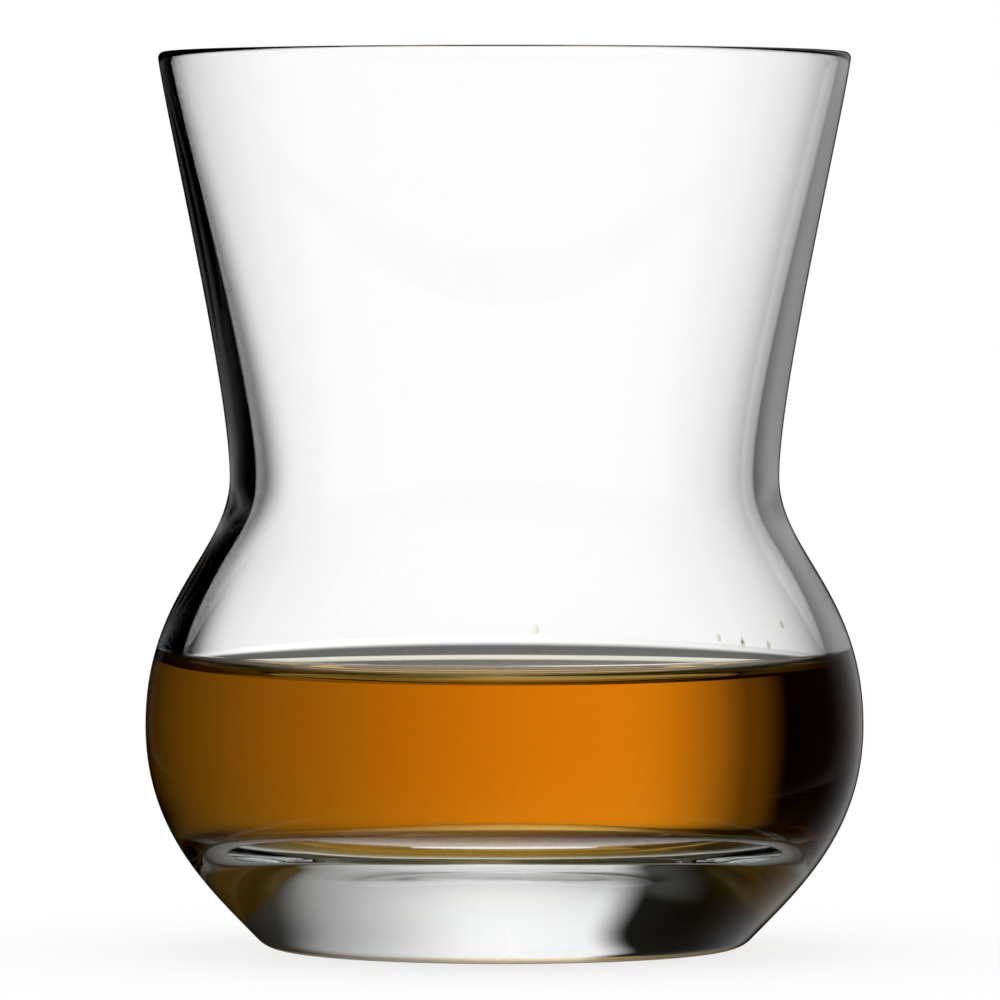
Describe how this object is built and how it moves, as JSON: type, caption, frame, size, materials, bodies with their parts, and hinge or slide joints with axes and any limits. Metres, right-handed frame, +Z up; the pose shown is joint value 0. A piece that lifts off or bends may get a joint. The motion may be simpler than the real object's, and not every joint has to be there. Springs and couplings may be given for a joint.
{
  "type": "rocks glass",
  "caption": "Thistle-shaped rocks glass with a flared mouth, narrow waist, round belly and heavy clear base, holding a measure of amber whisky that can swirl in its bowl.",
  "frame": {"origin": "centre of the foot, on the plane that the glass stands on", "axes": "+Z up along the glass's axis of revolution, from the foot to the rim; X and Y lie in the table's plane and are interchangeable"},
  "size_m": [0.0706, 0.0706, 0.088],
  "materials": {
    "clear_glass": "polished",
    "amber_whisky": "polished"
  },
  "bodies": {
    "glass": {"glass_body": "clear_glass"},
    "pour": {"whisky": "amber_whisky"}
  },
  "joints": [
    {"name": "whisky_swirl", "type": "hinge", "parent": "glass", "child": "pour", "pos_m": [0, 0, 0.02], "axis": [0, 0, 1], "continuous": true}
  ]
}
